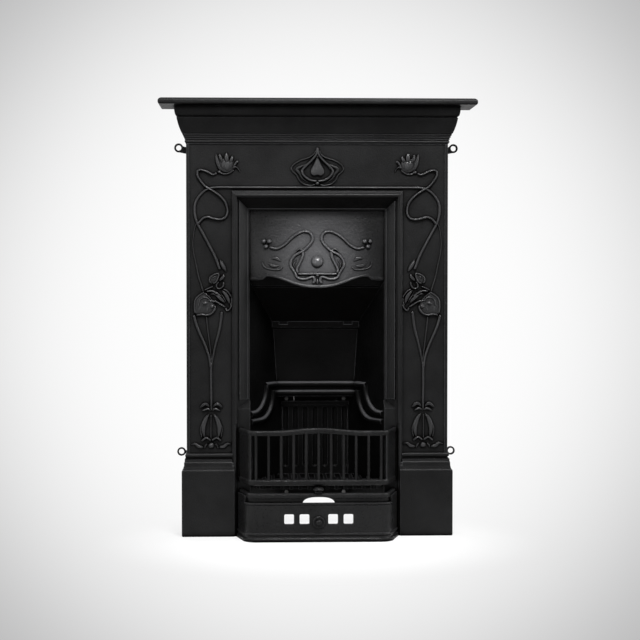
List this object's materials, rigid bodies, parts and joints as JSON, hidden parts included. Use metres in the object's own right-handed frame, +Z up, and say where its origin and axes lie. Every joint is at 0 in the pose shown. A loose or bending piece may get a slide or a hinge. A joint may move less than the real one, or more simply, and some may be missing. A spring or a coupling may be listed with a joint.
{
  "type": "fireplace",
  "caption": "Cast iron combination fireplace: mantel shelf, ornamented front, arched hood, splayed firebox with damper, bow-fronted fire bars, grate and vented ash-pit cover.",
  "frame": {"origin": "middle of the whole fireplace's base, on the floor, halfway between its foremost and rearmost points", "axes": "+X to the right seen from the front, +Y back towards the wall and chimney, +Z up; the front faces -Y"},
  "size_m": [0.762, 0.3004, 1.0565],
  "materials": {
    "front_iron": "black polished cast iron, fine grain, soft satin sheen",
    "fret_iron": "black polished cast iron, handled edges slightly brighter",
    "fire_iron": "matt black cast iron, rougher as-cast surface",
    "fastener_steel": "blackened steel"
  },
  "bodies": {
    "surround": {"front_plate": "front_iron", "opening_frame": "front_iron", "cornice": "front_iron", "mantel_shelf": "front_iron", "left_plinth": "front_iron", "right_plinth": "front_iron", "canopy": "fret_iron", "left_cheek": "fire_iron", "right_cheek": "fire_iron", "upper_fireback": "fire_iron", "fluted_fireback": "fire_iron", "hinge_pins": "fastener_steel", "ash_pit_front": "fret_iron", "shelf_bolts": "fastener_steel", "cornice_bolts": "fastener_steel", "plinth_bolts": "fastener_steel", "frame_nuts": "fastener_steel", "canopy_bolts": "fastener_steel", "cheek_bolts": "fastener_steel", "fireback_bolts": "fastener_steel", "pit_bolts": "fastener_steel"},
    "damper": {"damper_flap": "fire_iron"},
    "basket": {"front_bars": "fret_iron"},
    "grate": {"bottom_grate": "fire_iron", "riddle_knob": "fret_iron"},
    "cover": {"ash_cover": "fret_iron", "slide_guides": "fire_iron"},
    "fret": {"air_slide": "fire_iron", "air_knob": "fret_iron"}
  },
  "joints": [
    {"name": "damper_hinge", "type": "hinge", "parent": "surround", "child": "damper", "pos_m": [0, 0.10071, 0.51458], "axis": [-1, 0, 0], "range_deg": [0, 60]},
    {"name": "bars_pull", "type": "slide", "parent": "surround", "child": "basket", "axis": [0, -1, 0], "range_m": [0, 0.15]},
    {"name": "grate_riddle", "type": "slide", "parent": "surround", "child": "grate", "axis": [0, -1, 0], "range_m": [0, 0.015]},
    {"name": "cover_pull", "type": "slide", "parent": "surround", "child": "cover", "axis": [0, -1, 0], "range_m": [0, 0.15]},
    {"name": "air_slide_travel", "type": "slide", "parent": "cover", "child": "fret", "axis": [1, 0, 0], "range_m": [-0.011, 0.011]}
  ]
}
